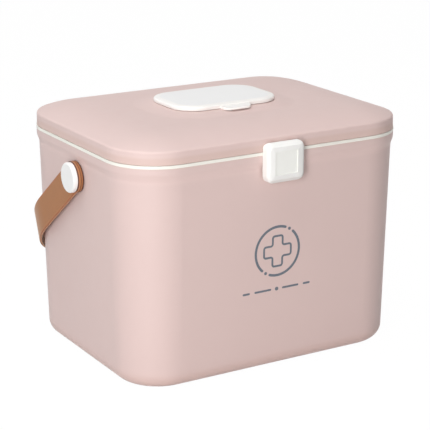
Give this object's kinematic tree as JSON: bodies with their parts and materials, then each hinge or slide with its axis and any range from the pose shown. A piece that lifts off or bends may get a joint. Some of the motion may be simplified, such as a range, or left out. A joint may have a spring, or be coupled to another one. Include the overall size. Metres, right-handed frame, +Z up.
{
  "type": "first aid box",
  "caption": "Pink moulded first aid box with a crowned hinged lid, snap latch, small hatch over a lid pocket, inner tray with dividers and a swinging carry strap.",
  "frame": {"origin": "centre of the flat face that the box stands on", "axes": "+Z up, the front with the latch faces -Y, +X to the right seen from the front"},
  "size_m": [0.2746, 0.2366, 0.2072],
  "materials": {
    "case_pink": "fine satin moulded polypropylene, dusty pink",
    "lid_pink": "fine satin moulded polypropylene, paler pink than the case reads in top light",
    "tray_white": "satin white polypropylene",
    "divider_white": "satin white polypropylene sheet",
    "pocket_white": "satin white polypropylene",
    "hatch_white": "smooth white moulded plastic",
    "latch_white": "smooth white moulded plastic",
    "button_white": "smooth white moulded plastic",
    "strap_tan": "tan imitation leather with darker cut edges",
    "pin_steel": "bright drawn steel",
    "screw_steel": "zinc plated steel"
  },
  "bodies": {
    "case": {"case": "case_pink", "tray": "tray_white", "tray_divider_left": "divider_white", "tray_divider_right": "divider_white", "tray_divider_middle": "divider_white", "hinge_pin_left": "pin_steel", "hinge_pin_right": "pin_steel", "pivot_button_left": "button_white", "pivot_button_right": "button_white", "pivot_washer_left": "screw_steel", "pivot_washer_right": "screw_steel", "pivot_screw_left": "screw_steel", "pivot_screw_right": "screw_steel"},
    "lid": {"lid": "lid_pink", "lid_pocket": "pocket_white", "pocket_screws": "screw_steel", "latch_pin": "pin_steel", "hatch_pin_left": "pin_steel", "hatch_pin_right": "pin_steel"},
    "hatch": {"hatch": "hatch_white"},
    "latch": {"latch": "latch_white"},
    "strap": {"strap_back": "strap_tan", "strap_bend_left": "strap_tan", "strap_bend_right": "strap_tan", "strap_arm_left": "strap_tan", "strap_arm_right": "strap_tan", "strap_pad_left": "strap_tan", "strap_pad_right": "strap_tan"}
  },
  "joints": [
    {"name": "lid_hinge", "type": "hinge", "parent": "case", "child": "lid", "pos_m": [0, 0.1057, 0.177], "axis": [-1, 0, 0], "range_deg": [0, 105]},
    {"name": "latch_hinge", "type": "hinge", "parent": "lid", "child": "latch", "pos_m": [0, -0.105, 0.1871], "axis": [-1, 0, 0], "range_deg": [0, 95]},
    {"name": "hatch_hinge", "type": "hinge", "parent": "lid", "child": "hatch", "pos_m": [0, 0.0343, 0.2048], "axis": [-1, 0, 0], "range_deg": [0, 100]},
    {"name": "strap_swing", "type": "hinge", "parent": "case", "child": "strap", "pos_m": [0, -0.004, 0.1565], "axis": [1, 0, 0], "range_deg": [0, 248]}
  ]
}
